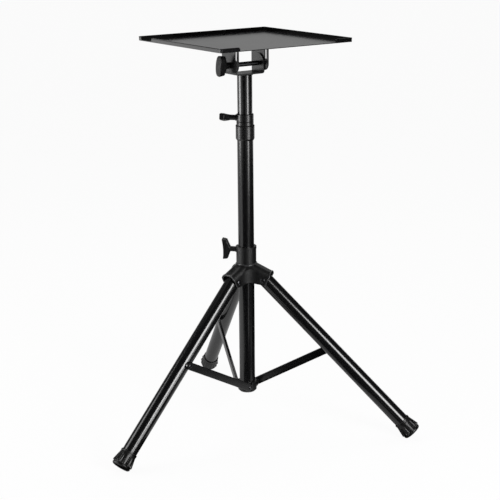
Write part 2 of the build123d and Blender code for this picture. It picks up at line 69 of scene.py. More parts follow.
# %% Camera
PHOTO_PX = 500
FOCAL_PX = 1319.84
SENSOR_WIDTH = 36
CAMERA_AZIMUTH = radians(-35.163)
CAMERA_ELEVATION = radians(15.065)
CAMERA_ROLL = radians(-0.484)
CAMERA_DISTANCE = 3.1655
AIM_HEIGHT = 0.44311
AIM_RIGHT = 0.009075


def direction(azimuth, elevation):
    """Unit vector from the column: azimuth 0 is towards -Y and grows counter-clockwise seen from above."""
    return Vector((sin(azimuth) * cos(elevation), -cos(azimuth) * cos(elevation), sin(elevation)))


def camera_axes():
    """Right, up and back of the camera: back comes from the two angles, up is back cross right, and
    the roll then turns right and up about back."""
    back = direction(CAMERA_AZIMUTH, CAMERA_ELEVATION)
    right = Vector((cos(CAMERA_AZIMUTH), sin(CAMERA_AZIMUTH), 0))
    up = back.cross(right)
    eye = Vector((0, 0, AIM_HEIGHT)) + back * CAMERA_DISTANCE + right * AIM_RIGHT
    turned_right = right * cos(CAMERA_ROLL) + up * sin(CAMERA_ROLL)
    turned_up = up * cos(CAMERA_ROLL) - right * sin(CAMERA_ROLL)
    return turned_right, turned_up, back, eye


right_axis, up_axis, back_axis, eye_point = camera_axes()
camera_data = bpy.data.cameras.new("camera")
camera_data.sensor_width = SENSOR_WIDTH
camera_data.lens = SENSOR_WIDTH * FOCAL_PX / PHOTO_PX
camera = bpy.data.objects.new("camera", camera_data)
turn = Matrix((right_axis, up_axis, back_axis)).transposed().to_4x4()
camera.matrix_world = Matrix.Translation(eye_point) @ turn
scene.collection.objects.link(camera)
scene.camera = camera
print("camera at", [round(v, 3) for v in eye_point], "lens", round(camera_data.lens, 2))

# %% [markdown]
# ## Studio
# Black shows its shape only by what it reflects. Two low softboxes draw the long light lines down the
# column, two high ones draw them down the legs, and the last lights the tray from behind. The low ones
# end no higher than the tray, so that it isn't their mirror, and two small flags beside the tray keep
# the high ones out of it. The backdrop is white to the camera and to reflections. Between the lines a
# black tube has to stay black, so black and grey cards stand where a photographer puts them: behind the
# camera, above the set and on the floor. One pale card, the reflector, lifts the tray's left lip and the
# bracket. Only reflections see the cards, apart from the flags' shade, so no picture shows them.

# %% White backdrop
scene.view_settings.view_transform = "Standard"
AMBIENT = 0.38
BACKDROP = 1.0
WHITE = (1, 1, 1, 1)


def add(tree, kind, **settings):
    """New node of a kind, with its plain settings."""
    node = tree.nodes.new(kind)
    for key, value in settings.items():
        setattr(node, key, value)
    return node


def math_node(tree, operation, *values):
    """Math node whose inputs are numbers or sockets."""
    node = add(tree, "ShaderNodeMath", operation=operation)
    for socket, value in zip(node.inputs, values):
        if isinstance(value, (int, float)):
            socket.default_value = value
        else:
            tree.links.new(value, socket)
    return node.outputs[0]


def seen_directly(tree):
    """1 for a ray that shows the backdrop: a camera ray, a mirrored ray or one through glass."""
    ray = add(tree, "ShaderNodeLightPath").outputs
    mirrored = math_node(tree, "MAXIMUM", ray["Is Glossy Ray"], ray["Is Transmission Ray"])
    return math_node(tree, "MAXIMUM", ray["Is Camera Ray"], mirrored)


world = bpy.data.worlds.new("studio")
world.use_nodes = True
scene.world = world
tree = world.node_tree
background = tree.nodes["Background"]
background.inputs["Color"].default_value = WHITE
strength = add(tree, "ShaderNodeMapRange")
strength.inputs["To Min"].default_value = AMBIENT
strength.inputs["To Max"].default_value = BACKDROP
tree.links.new(seen_directly(tree), strength.inputs["Value"])
tree.links.new(strength.outputs["Result"], background.inputs["Strength"])
print("world: ambient", AMBIENT, "backdrop", BACKDROP)

# %% Softboxes
SET_MIDDLE = Vector((0, 0, 0.5))
# Azimuth and elevation in degrees, distance, width and height in metres, power in watts
SOFTBOXES = {
    "left_softbox": (-116, 2, 2.6, 1.0, 0.72, 21),
    "high_left_softbox": (-116, 30, 2.6, 1.1, 0.8, 13),
    "right_softbox": (11, -3.2, 2.7, 0.8, 0.41, 9.5),
    "high_right_softbox": (2, 17, 2.7, 1.0, 1.0, 50),
    "back_softbox": (150, 62, 2.6, 1.2, 1.2, 16),
}


def softbox(name, azimuth, elevation, distance, width, height, power):
    """Area lamp on a sphere about the middle of the stand, turned to face it."""
    outward = direction(radians(azimuth), radians(elevation))
    lamp = bpy.data.lights.new(name, "AREA")
    lamp.shape = "RECTANGLE"
    lamp.size, lamp.size_y = width, height
    lamp.energy = power
    obj = bpy.data.objects.new(name, lamp)
    obj.location = SET_MIDDLE + outward * distance
    obj.rotation_euler = outward.to_track_quat("Z", "Y").to_euler()
    scene.collection.objects.link(obj)


for name, place in SOFTBOXES.items():
    softbox(name, *place)

# %% Sheets and cards
BLACK = (0, 0, 0, 1)
UPWARD = Vector((0, 0, 1))
NEARLY_LEVEL = 0.9


def flat_sheet(name, centre, facing, side):
    """A square sheet about its centre, square to the direction that it faces."""
    across = facing.cross(UPWARD) if abs(facing.z) < NEARLY_LEVEL else Vector((1, 0, 0))
    across.normalize()
    along = facing.cross(across)
    half = side / 2
    signs = ((-1, -1), (1, -1), (1, 1), (-1, 1))
    corners = [centre + across * (half * a) + along * (half * b) for a, b in signs]
    mesh = bpy.data.meshes.new(name)
    mesh.from_pydata([tuple(corner) for corner in corners], [], [(0, 1, 2, 3)])
    sheet = bpy.data.objects.new(name, mesh)
    scene.collection.objects.link(sheet)
    return sheet


def card(name, azimuth, elevation, distance, side, shade=0.0, lying=None, flag=False):
    """A sheet of one shade, 0 for black, that only mirrored rays see. It faces the stand, or lies at a
    small height above the floor. A flag stands upright and also keeps a lamp's light off what it hides."""
    outward = direction(radians(azimuth), radians(elevation))
    centre, facing = SET_MIDDLE + outward * distance, -outward
    if lying:
        centre.z, facing = lying, UPWARD
    if flag:
        facing = -direction(radians(azimuth), 0)
    sheet = flat_sheet(name, centre, facing, side)
    sheet.visible_camera = False
    sheet.visible_diffuse = False
    sheet.visible_shadow = flag
    sheet.visible_transmission = False
    material = bpy.data.materials.new(name)
    material.use_nodes = True
    paper = material.node_tree.nodes["Principled BSDF"]
    paper.inputs["Base Color"].default_value = BLACK
    paper.inputs["Roughness"].default_value = 1.0
    paper.inputs["Specular IOR Level"].default_value = 0.0
    paper.inputs["Emission Color"].default_value = WHITE
    paper.inputs["Emission Strength"].default_value = shade
    sheet.data.materials.append(material)


print("cards stand about", tuple(SET_MIDDLE), "m")

# %% Cards round the set
FLAG = {"shade": 0.2, "flag": True}
# Cards on the floor lie in three layers, a millimetre apart
LOW_LAYER, MIDDLE_LAYER, TOP_LAYER = 0.002, 0.003, 0.004
# Azimuth and elevation in degrees, then distance and side in metres
card("camera_card", -45, 15, 4.5, 7.0)
card("side_card", 68, 12, 4.2, 7.0)
card("ceiling_card", -35, 90, 3.0, 9.0)
card("right_flag_card", 2, 55.8, 0.889, 0.6, **FLAG)
card("left_flag_card", -116, 55.8, 0.889, 0.6, **FLAG)
card("front_floor_card", -45, -12, 2.8, 3.4, lying=LOW_LAYER)
card("side_floor_card", 72, -12, 2.0, 3.8, lying=LOW_LAYER)
card("lip_floor_card", 36, -8, 3.5, 1.2, lying=MIDDLE_LAYER)
card("under_card", 0, -50, 0.187, 0.44, shade=0.6, lying=MIDDLE_LAYER)
card("left_leg_card", -25.5, -50, 0.724, 0.48, lying=TOP_LAYER)
card("left_foot_card", -73, -50, 0.537, 0.2, lying=TOP_LAYER)
card("tube_floor_card", 29.7, -50, 1.003, 0.28, shade=0.4, lying=TOP_LAYER)
card("left_back_card", 202, 10, 4.6, 4.4, shade=0.16)
card("left_floor_card", 207, -8, 3.0, 3.6, shade=0.60, lying=LOW_LAYER)
card("lip_reflector_card", 214.4, -1, 4.48, 1.0, shade=2.0)
card("back_card", 145, 20, 4.5, 5.0, shade=0.36)
card("rear_floor_card", 165, -48, 0.75, 0.8, shade=0.55, lying=TOP_LAYER)

# %% [markdown]
# ## Floor
# The floor is one wide square. Most of what the camera sees of it is plain white, and the rest is a
# lit matt surface, so a faint shadow still lies round the boots.

# %% Floor
FLOOR_SIDE = 40.0
FLOOR_WHITE = 0.94
FLOOR_COLOUR = (0.85, 0.85, 0.85, 1)
FLOOR_ROUGHNESS = 0.9
floor = flat_sheet("floor", Vector((0, 0, 0)), UPWARD, FLOOR_SIDE)
floor_material = bpy.data.materials.new("white_floor")
floor_material.use_nodes = True
tree = floor_material.node_tree
matt = tree.nodes["Principled BSDF"]
matt.inputs["Base Color"].default_value = FLOOR_COLOUR
matt.inputs["Roughness"].default_value = FLOOR_ROUGHNESS
matt.inputs["Specular IOR Level"].default_value = 0.0
white = add(tree, "ShaderNodeEmission")
mixed = add(tree, "ShaderNodeMixShader")
share = math_node(tree, "MULTIPLY", seen_directly(tree), FLOOR_WHITE)
tree.links.new(share, mixed.inputs["Fac"])
tree.links.new(matt.outputs["BSDF"], mixed.inputs[1])
tree.links.new(white.outputs["Emission"], mixed.inputs[2])
tree.links.new(mixed.outputs["Shader"], tree.nodes["Material Output"].inputs["Surface"])
floor.data.materials.append(floor_material)
print("floor", FLOOR_SIDE, "m square")

# %% [markdown]
# ## Effects that several finishes share
# A coated or moulded surface is never one even value. Three effects come back on almost every piece:
# a fine relief left by spraying or moulding, patches where hands have polished or dulled it, and the
# dust that settles on what faces up. Each is a node group, so that it is built once and every finish
# sets its own sizes.

# %% Surface relief
def noise(tree, vector, scale, detail=2.0, roughness=0.5):
    """Noise whose scale is a number or a socket."""
    node = add(tree, "ShaderNodeTexNoise")
    tree.links.new(vector, node.inputs["Vector"])
    node.inputs["Detail"].default_value = detail
    node.inputs["Roughness"].default_value = roughness
    if isinstance(scale, (int, float)):
        node.inputs["Scale"].default_value = scale
    else:
        tree.links.new(scale, node.inputs["Scale"])
    return node.outputs["Fac"]


def new_group(name, inputs, outputs):
    """Shader node group with float sockets, and its input and output nodes."""
    group = bpy.data.node_groups.new(name, "ShaderNodeTree")
    for socket_name, value in inputs:
        socket = group.interface.new_socket(socket_name, in_out="INPUT", socket_type="NodeSocketFloat")
        socket.default_value = value
    for socket_name in outputs:
        group.interface.new_socket(socket_name, in_out="OUTPUT", socket_type="NodeSocketFloat")
    return group, add(group, "NodeGroupInput").outputs, add(group, "NodeGroupOutput").inputs


def relief_group():
    """Height of a sprayed or moulded skin: a slow wave plus a fine grain, each of its own size in
    metres, added in the shares that the finish asks for."""
    group, given, result = new_group(
        "surface_relief",
        [("Wave Size", 0.004), ("Wave Share", 0.5), ("Grain Size", 0.0008), ("Grain Share", 0.5)],
        ["Height"],
    )
    place = add(group, "ShaderNodeTexCoord").outputs["Object"]
    wave = noise(group, place, math_node(group, "DIVIDE", 1.0, given["Wave Size"]), detail=1.0)
    grain = noise(group, place, math_node(group, "DIVIDE", 1.0, given["Grain Size"]), detail=2.0)
    slow = math_node(group, "MULTIPLY", wave, given["Wave Share"])
    group.links.new(math_node(group, "MULTIPLY_ADD", grain, given["Grain Share"], slow), result["Height"])
    return group


relief = relief_group()
print("group:", relief.name)

# %% Handling marks
SCUFF_STRETCH = (900, 900, 60)
SCUFF_TURN = (0.35, 0.2, 0.6)
SCUFF_START, SCUFF_FULL = 0.66, 0.74
SMOOTHEST, ROUGHEST = 0.05, 1.0


def handling_group():
    """Roughness of a surface that hands have touched: a base value, pushed up and down by soft patches,
    and fine hairline scuffs that are noise stretched along the piece."""
    group, given, result = new_group(
        "handling_marks",
        [("Roughness", 0.4), ("Patch Size", 0.03), ("Patch Depth", 0.1), ("Scuff Depth", 0.1)],
        ["Roughness", "Scuffs"],
    )
    place = add(group, "ShaderNodeTexCoord").outputs["Object"]
    patch = noise(group, place, math_node(group, "DIVIDE", 1.0, given["Patch Size"]), detail=4.0)
    centred = math_node(group, "SUBTRACT", patch, 0.5)
    worn = math_node(group, "MULTIPLY_ADD", centred, given["Patch Depth"], given["Roughness"])
    stretch = add(group, "ShaderNodeMapping")
    stretch.inputs["Scale"].default_value = SCUFF_STRETCH
    stretch.inputs["Rotation"].default_value = SCUFF_TURN
    group.links.new(place, stretch.inputs["Vector"])
    hair = noise(group, stretch.outputs["Vector"], 1.0, detail=3.0, roughness=0.6)
    lines = add(group, "ShaderNodeMapRange")
    lines.inputs["From Min"].default_value = SCUFF_START
    lines.inputs["From Max"].default_value = SCUFF_FULL
    group.links.new(hair, lines.inputs["Value"])
    shown = math_node(group, "MULTIPLY", lines.outputs["Result"], patch)
    rough = math_node(group, "MULTIPLY_ADD", shown, given["Scuff Depth"], worn)
    floored = math_node(group, "MAXIMUM", rough, SMOOTHEST)
    group.links.new(math_node(group, "MINIMUM", floored, ROUGHEST), result["Roughness"])
    group.links.new(shown, result["Scuffs"])
    return group


handling = handling_group()
print("group:", handling.name)

# %% Settled dust
CLOUD_SCALE = 14.0


def dust_group():
    """Mask of settled dust: how far the surface faces up, times a cloudy noise with fine specks."""
    group, given, result = new_group("settled_dust", [("Amount", 0.2), ("Speck Size", 0.0012)], ["Mask"])
    place = add(group, "ShaderNodeTexCoord").outputs["Object"]
    facing = add(group, "ShaderNodeSeparateXYZ")
    group.links.new(add(group, "ShaderNodeNewGeometry").outputs["Normal"], facing.inputs[0])
    upward = math_node(group, "MAXIMUM", facing.outputs["Z"], 0.0)
    cloud = noise(group, place, CLOUD_SCALE, detail=4.0)
    speck = noise(group, place, math_node(group, "DIVIDE", 1.0, given["Speck Size"]), detail=1.0)
    lying = math_node(group, "MULTIPLY", math_node(group, "MULTIPLY", upward, cloud), speck)
    group.links.new(math_node(group, "MULTIPLY", lying, given["Amount"]), result["Mask"])
    return group


dust = dust_group()
print("group:", dust.name)

# %% [markdown]
# ## Finishes
# Every finish is the same few steps with its own values: a colour that the dust and the scuffs lighten
# a little, a roughness with handling marks, and a bump from the relief. What is the same all over a
# surface stays on the shader itself. The black coat on the legs is satin powder, the sliding tube has
# a gloss enamel, the tray a coarser textured powder, the bracket under it a matt one, and the mouldings
# a fine eroded grain.

# %% The finish recipe
DUST_COLOUR = (0.23, 0.22, 0.20, 1)


def placed(tree, group, **values):
    """A group node with its own values on its inputs."""
    node = add(tree, "ShaderNodeGroup", node_tree=group)
    for socket_name, value in values.items():
        node.inputs[socket_name.replace("_", " ")].default_value = value
    return node.outputs


def black_finish(name, colour, worn_colour, specular, marks, skin, bump, dust_amount, metallic=0.0):
    """Material of one black surface: colour, marks and skin are as the groups want them, and bump is
    the height of the relief in metres."""
    material = bpy.data.materials.new(name)
    material.use_nodes = True
    tree = material.node_tree
    shader = tree.nodes["Principled BSDF"]
    shader.inputs["Specular IOR Level"].default_value = specular
    shader.inputs["Metallic"].default_value = metallic
    touched = placed(tree, handling, **marks)
    tree.links.new(touched["Roughness"], shader.inputs["Roughness"])

    scuffed = add(tree, "ShaderNodeMix", data_type="RGBA")
    scuffed.inputs["A"].default_value = (*colour, 1)
    scuffed.inputs["B"].default_value = (*worn_colour, 1)
    tree.links.new(touched["Scuffs"], scuffed.inputs["Factor"])
    dusty = add(tree, "ShaderNodeMix", data_type="RGBA")
    dusty.inputs["B"].default_value = DUST_COLOUR
    tree.links.new(scuffed.outputs["Result"], dusty.inputs["A"])
    tree.links.new(placed(tree, dust, Amount=dust_amount)["Mask"], dusty.inputs["Factor"])
    tree.links.new(dusty.outputs["Result"], shader.inputs["Base Color"])

    relief_bump = add(tree, "ShaderNodeBump")
    relief_bump.inputs["Strength"].default_value = 1.0
    relief_bump.inputs["Distance"].default_value = bump
    tree.links.new(placed(tree, relief, **skin)["Height"], relief_bump.inputs["Height"])
    tree.links.new(relief_bump.outputs["Normal"], shader.inputs["Normal"])
    return material


print("every finish uses", [group.name for group in (relief, handling, dust)])

# %% Coats on steel
satin_coat = black_finish(
    "satin_powder_coat",
    colour=(0.0035, 0.0035, 0.0038),
    worn_colour=(0.012, 0.012, 0.013),
    specular=0.55,
    marks={"Roughness": 0.18, "Patch_Size": 0.05, "Patch_Depth": 0.05, "Scuff_Depth": 0.06},
    skin={"Wave_Size": 0.0045, "Wave_Share": 0.7, "Grain_Size": 0.0009, "Grain_Share": 0.3},
    bump=0.000006,
    dust_amount=0.010,
)
gloss_enamel = black_finish(
    "gloss_enamel",
    colour=(0.0025, 0.0025, 0.0027),
    worn_colour=(0.010, 0.010, 0.011),
    specular=0.7,
    marks={"Roughness": 0.18, "Patch_Size": 0.06, "Patch_Depth": 0.05, "Scuff_Depth": 0.06},
    skin={"Wave_Size": 0.006, "Wave_Share": 0.9, "Grain_Size": 0.0015, "Grain_Share": 0.1},
    bump=0.000010,
    dust_amount=0.006,
)
tray_coat = black_finish(
    "textured_tray_coat",
    colour=(0.0065, 0.0065, 0.0068),
    worn_colour=(0.030, 0.030, 0.031),
    specular=0.5,
    marks={"Roughness": 0.14, "Patch_Size": 0.08, "Patch_Depth": 0.03, "Scuff_Depth": 0.10},
    skin={"Wave_Size": 0.0022, "Wave_Share": 0.6, "Grain_Size": 0.0007, "Grain_Share": 0.4},
    bump=0.000012,
    dust_amount=0.015,
)
bracket_coat = black_finish(
    "matt_bracket_coat",
    colour=(0.010, 0.010, 0.0105),
    worn_colour=(0.030, 0.030, 0.031),
    specular=0.6,
    marks={"Roughness": 0.30, "Patch_Size": 0.02, "Patch_Depth": 0.08, "Scuff_Depth": 0.10},
    skin={"Wave_Size": 0.0030, "Wave_Share": 0.6, "Grain_Size": 0.0008, "Grain_Share": 0.4},
    bump=0.000010,
    dust_amount=0.010,
)
print("coats:", satin_coat.name, gloss_enamel.name, tray_coat.name, bracket_coat.name)

# %% Mouldings, rubber and steel
moulding = black_finish(
    "moulded_plastic",
    colour=(0.0035, 0.0035, 0.0037),
    worn_colour=(0.022, 0.022, 0.023),
    specular=0.45,
    marks={"Roughness": 0.36, "Patch_Size": 0.012, "Patch_Depth": 0.16, "Scuff_Depth": 0.12},
    skin={"Wave_Size": 0.0034, "Wave_Share": 0.65, "Grain_Size": 0.0010, "Grain_Share": 0.35},
    bump=0.00055,
    dust_amount=0.03,
)
# A lighter copy of the moulding for the hood rims and the hub's shoulder. Its lighter colour is a painted
# highlight, and its lower roughness and stronger shine stand for rubbed edges.
highlit_rubbed_moulding = black_finish(
    "highlit_rubbed_moulded_edge",
    colour=(0.030, 0.030, 0.031),
    worn_colour=(0.060, 0.060, 0.062),
    specular=0.6,
    marks={"Roughness": 0.24, "Patch_Size": 0.008, "Patch_Depth": 0.20, "Scuff_Depth": 0.10},
    skin={"Wave_Size": 0.0034, "Wave_Share": 0.65, "Grain_Size": 0.0010, "Grain_Share": 0.35},
    bump=0.00010,
    dust_amount=0.02,
)
collar_plastic = black_finish(
    "smooth_collar_plastic",
    colour=(0.004, 0.004, 0.0042),
    worn_colour=(0.018, 0.018, 0.019),
    specular=0.55,
    marks={"Roughness": 0.27, "Patch_Size": 0.02, "Patch_Depth": 0.08, "Scuff_Depth": 0.10},
    skin={"Wave_Size": 0.0060, "Wave_Share": 0.5, "Grain_Size": 0.0006, "Grain_Share": 0.5},
    bump=0.000008,
    dust_amount=0.02,
)
boot_rubber = black_finish(
    "boot_rubber",
    colour=(0.0035, 0.0035, 0.0035),
    worn_colour=(0.030, 0.029, 0.028),
    specular=0.35,
    marks={"Roughness": 0.34, "Patch_Size": 0.015, "Patch_Depth": 0.12, "Scuff_Depth": 0.15},
    skin={"Wave_Size": 0.0040, "Wave_Share": 0.5, "Grain_Size": 0.0008, "Grain_Share": 0.5},
    bump=0.000030,
    dust_amount=0.02,
)
dark_steel = black_finish(
    "blackened_steel",
    colour=(0.060, 0.060, 0.064),
    worn_colour=(0.350, 0.345, 0.340),
    specular=0.5,
    marks={"Roughness": 0.34, "Patch_Size": 0.008, "Patch_Depth": 0.16, "Scuff_Depth": 0.10},
    skin={"Wave_Size": 0.0020, "Wave_Share": 0.5, "Grain_Size": 0.0004, "Grain_Share": 0.5},
    bump=0.00003,
    dust_amount=0.04,
    metallic=1.0,
)
gasket_rubber = black_finish(
    "gasket_rubber",
    colour=(0.0020, 0.0020, 0.0020),
    worn_colour=(0.012, 0.012, 0.012),
    specular=0.15,
    marks={"Roughness": 0.65, "Patch_Size": 0.01, "Patch_Depth": 0.15, "Scuff_Depth": 0.10},
    skin={"Wave_Size": 0.0030, "Wave_Share": 0.4, "Grain_Size": 0.0006, "Grain_Share": 0.6},
    bump=0.00004,
    dust_amount=0.01,
)
print("others:", moulding.name, boot_rubber.name, dark_steel.name, gasket_rubber.name)

# %% Give the CAD pieces their finishes
FINISH_OF = {
    "black_coat": satin_coat,
    "gloss_coat": gloss_enamel,
    "black_moulding": moulding,
    "black_rubber": boot_rubber,
    "dark_steel": dark_steel,
}
OWN_FINISH_OF = {
    "tray_pan": tray_coat,
    "tray_hanger": bracket_coat,
    "yoke": bracket_coat,
    "collar_sleeve": collar_plastic,
    "collar_ring": collar_plastic,
}
slot_of = {part["node"]: part["material_slot"] for part in frame["record"]["subparts"]}
for name, obj in nodes.items():
    obj.data.materials.clear()
    obj.data.materials.append(OWN_FINISH_OF.get(name, FINISH_OF[slot_of[name]]))
print("finished nodes:", len(nodes))

# %% [markdown]
# ## Surfaces from arrays
# The new pieces are all grids of points: a profile carried round an axis, or a section carried along a
# path. Whole arrays give every point at once. A profile's corners are rounded first, because a real
# edge is never sharp and its small round is what shines.

# %% Grid to mesh
SMOOTH_ANGLE = radians(40)
MERGE_DISTANCE = 1e-7


def solid_from_grid(name, points, finish, wrap_rows=False):
    """Closed mesh from points in millimetres, shape (rows, columns, 3). Columns always join up, rows
    only for a ring. A row that shrinks to one point becomes a pole."""
    rows, columns = points.shape[:2]
    index = np.arange(rows * columns).reshape(rows, columns)
    index = np.concatenate([index, index[:, :1]], axis=1)
    if wrap_rows:
        index = np.concatenate([index, index[:1]], axis=0)
    cells = np.stack([index[:-1, :-1], index[:-1, 1:], index[1:, 1:], index[1:, :-1]], axis=-1)
    mesh = bpy.data.meshes.new(name)
    mesh.from_pydata((points.reshape(-1, 3) * MM).tolist(), [], cells.reshape(-1, 4).tolist())
    shape = bmesh.new()
    shape.from_mesh(mesh)
    bmesh.ops.remove_doubles(shape, verts=shape.verts, dist=MERGE_DISTANCE)
    bmesh.ops.recalc_face_normals(shape, faces=shape.faces)
    shape.to_mesh(mesh)
    shape.free()
    mesh.shade_smooth()
    mesh.set_sharp_from_angle(angle=SMOOTH_ANGLE)
    mesh.materials.append(finish)
    obj = bpy.data.objects.new(name, mesh)
    scene.collection.objects.link(obj)
    return obj


print("edges stay sharp above", round(SMOOTH_ANGLE, 3), "radians")

# %% Rounded profiles
def round_corners(corners, rounding, steps=5):
    """Profile or path with its inner corners rounded: each corner becomes a quadratic curve from one
    rounding length before it to one after, with the corner as the curve's middle control point."""
    corners = np.array(corners, float)
    reach = np.broadcast_to(np.array(rounding, float), len(corners) - 2)[:, None]
    middle = corners[1:-1]
    to_last, to_next = corners[:-2] - middle, corners[2:] - middle
    before = middle + to_last / np.linalg.norm(to_last, axis=1, keepdims=True) * reach
    after = middle + to_next / np.linalg.norm(to_next, axis=1, keepdims=True) * reach
    t = np.linspace(0, 1, steps)[None, :, None]
    curve = (1 - t) ** 2 * before[:, None] + 2 * t * (1 - t) * middle[:, None] + t**2 * after[:, None]
    return np.concatenate([corners[:1], curve.reshape(-1, corners.shape[1]), corners[-1:]])


print("points with one rounded corner:", len(round_corners([(0, 0), (1, 0), (1, 1)], 0.2)))

# %% Sections carried round and along
UP = np.array([0.0, 0.0, 1.0])
SIDEWAYS = np.array([1.0, 0.0, 0.0])


def axes_about(axis, across):
    """Unit vectors across, beside and along an axis."""
    along = np.array(axis, float)
    along = along / np.linalg.norm(along)
    across = np.array(across, float)
    across = across - along * (across @ along)
    across = across / np.linalg.norm(across)
    return across, np.cross(along, across), along


def carried_round(origin, axes, profile, columns, wave=None):
    """Points of a profile of (radius, height) carried round an axis. wave(radius, height, angle) gives
    the radius and height at each angle, for flutes, flats and recesses."""
    across, beside, along = axes
    angle = np.linspace(0, 2 * pi, columns, endpoint=False)[None, :]
    radius = np.repeat(profile[:, :1], columns, axis=1)
    height = np.repeat(profile[:, 1:], columns, axis=1)
    if wave is not None:
        radius, height = wave(radius, height, angle)
    x = (radius * np.cos(angle))[..., None] * across
    y = (radius * np.sin(angle))[..., None] * beside
    return np.array(origin, float) + x + y + height[..., None] * along


def carried_along(path, outward, radius, columns=14):
    """Points of a round bead along a path. At each place the tangent and the given outward direction
    span the section, and the first and last rows close it to a point."""
    tangent = np.gradient(path, axis=0)
    tangent = tangent / np.linalg.norm(tangent, axis=1, keepdims=True)
    side = outward - np.sum(outward * tangent, axis=1, keepdims=True) * tangent
    side = side / np.linalg.norm(side, axis=1, keepdims=True)
    other = np.cross(tangent, side)
    angle = np.linspace(0, 2 * pi, columns, endpoint=False)[None, :, None]
    ring = np.cos(angle) * side[:, None] + np.sin(angle) * other[:, None]
    points = path[:, None] + radius * ring
    first, last = (np.repeat(end[None, None], columns, axis=1) for end in (path[0], path[-1]))
    return np.concatenate([first, points, last])


print("a row of a ring:", carried_round((0, 0, 0), axes_about(UP, SIDEWAYS), np.ones((1, 2)), 8).shape)

# %% Measures and places of the CAD nodes
def node_points(node):
    """All vertices of a CAD node as an array in millimetres."""
    mesh = nodes[node].data
    flat = np.empty(len(mesh.vertices) * 3, np.float32)
    mesh.vertices.foreach_get("co", flat)
    return flat.reshape(-1, 3).astype(float) / MM


def span_along(node, origin, axis):
    """Lowest and highest place of a node along an axis, counted from the axis's origin."""
    places = (node_points(node) - np.array(origin)) @ np.array(axis)
    return places.min(), places.max()


def stands_for(piece, body, *node_names):
    """The piece moves with a body and hides the CAD nodes it stands for."""
    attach(piece, body)
    if node_names:
        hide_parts(*node_names)


print("upper tube from", *np.round(span_along("upper_tube", (0, 0, 0), UP), 1), "mm")

# %% [markdown]
# ## Rubber boots
# Each leg ends in a tapered rubber boot: a plain cuff with a rim, pointed ribs that grow towards the
# foot, a groove under their ends and a round sole with a raised rim. A profile carried round the leg
# gives the cup. Separate bars would leave seams, so a wave over the angle raises the ribs from the same
# skin. Their height follows the profile, so they run out to points.

# %% Boots
LEGS = ("right", "rear", "left")
LEG_LEAN = radians(45.35)
LEG_RADIUS = 17.7
SOLE_FROM_PIVOT = 514.3
BOOT_RIBS = 16
BOOT_RIB_HEIGHT = 2.6
BOOT_RIB_POWER = 3
BOOT_VALLEY = 1.2
BOOT_WALL_START = LEG_RADIUS + 0.3
BOOT_COLUMNS = 256
# Heights above the sole, and the share of the ribs' height there
RIB_PLACES = [7.6, 8.2, 11.0, 31.0]
RIB_GROWTH = [0.0, 0.9, 1.0, 0.0]
# Radius and height above the sole, from the sole's middle round the wall to the bottom of the bore
BOOT_PROFILE = [
    (0.0, 1.6), (14.0, 1.6), (15.5, 0.0), (19.0, 0.0), (22.2, 2.4), (22.4, 6.0), (21.2, 6.8), (21.2, 7.6),
    (23.0, 8.2), (22.7, 11.0), (19.9, 31.0), (19.1, 35.5), (19.9, 36.0), (19.9, 40.0), (17.75, 40.0),
    (17.75, 14.2), (0.0, 14.2),
]
BOOT_ROUNDS = [0.8, 0.7, 1.6, 1.6, 0.6, 0.35, 0.35, 0.6, 0.8, 3.0, 0.3, 0.3, 0.9, 0.6, 0.8]


def leg_axes(name):
    """Pivot of a leg in millimetres, and unit vectors outwards, along its pin and down the leg."""
    pivot = np.array(joints[f"leg_fold_{name}"]["pos_m"]) / MM
    outward = np.array([pivot[0], pivot[1], 0.0])
    outward = outward / np.linalg.norm(outward)
    pin = np.array([-outward[1], outward[0], 0.0])
    down = outward * sin(LEG_LEAN) - np.array([0.0, 0.0, cos(LEG_LEAN)])
    return pivot, outward, pin, down


def boot_ribs(radius, height, angle):
    """Ribs: the cosine of the rib count times the angle, sharpened by a power. They are highest at the
    flare and run out at the cuff, and the wall sinks a little between them."""
    ridge = (0.5 + 0.5 * np.cos(BOOT_RIBS * angle)) ** BOOT_RIB_POWER
    grown = np.interp(height, RIB_PLACES, RIB_GROWTH)
    outside = radius > BOOT_WALL_START
    return radius + outside * grown * (BOOT_RIB_HEIGHT * ridge - BOOT_VALLEY), height


for name in LEGS:
    pivot, outward, pin, down = leg_axes(name)
    sole = pivot + down * SOLE_FROM_PIVOT
    profile = round_corners(BOOT_PROFILE, BOOT_ROUNDS)
    points = carried_round(sole, axes_about(-down, pin), profile, BOOT_COLUMNS, boot_ribs)
    boot = solid_from_grid(f"ribbed_boot_{name}", points, boot_rubber)
    stands_for(boot, f"leg_{name}", f"boot_{name}")
print("boot faces:", len(boot.data.polygons))

# %% [markdown]
# ## Screws and rivets
# The legs turn on cross-headed screws through the hub's arms, and the struts are held by a screw at the
# leg and a rivet at the foot of the column. A head is a dome, which is again a profile carried round an
# axis. Cutting the cross recess out of a mesh would leave slivers, so it is a depth that the wave takes
# off the dome, where the point lies inside one of two crossed bars.

# %% Head shapes
DOME_FALL = 0.65
DOME_REACH = 0.94
RIM_TOP = 0.30
RIM_FOOT = 0.12
RIM_INSET = 0.97
HEAD_STEPS = 24
SCREW_COLUMNS = 72
# The cross: shares of the head's radius, and a depth in millimetres that lessens outwards
CROSS_LENGTH = 0.62
CROSS_WIDTH = 0.15
CROSS_EDGE = 0.05
CROSS_DEPTH = 1.3
CROSS_RISE = 0.5
HEAD_SKIRT = 0.8


def dome_profile(head_r, head_t, steps=HEAD_STEPS):
    """Upper half of a head: from the pole at its top, along an arc, to its rim and under it. The arc
    falls from the head's height with the square of the radius's share, and the rim is rounded."""
    share = np.linspace(0, DOME_REACH, steps)
    arc = np.stack([head_r * share, head_t * (1 - DOME_FALL * share**2)], axis=1)
    rim = np.array([(head_r, head_t * RIM_TOP), (head_r, RIM_FOOT), (head_r * RIM_INSET, 0.0)])
    return np.concatenate([arc, rim])


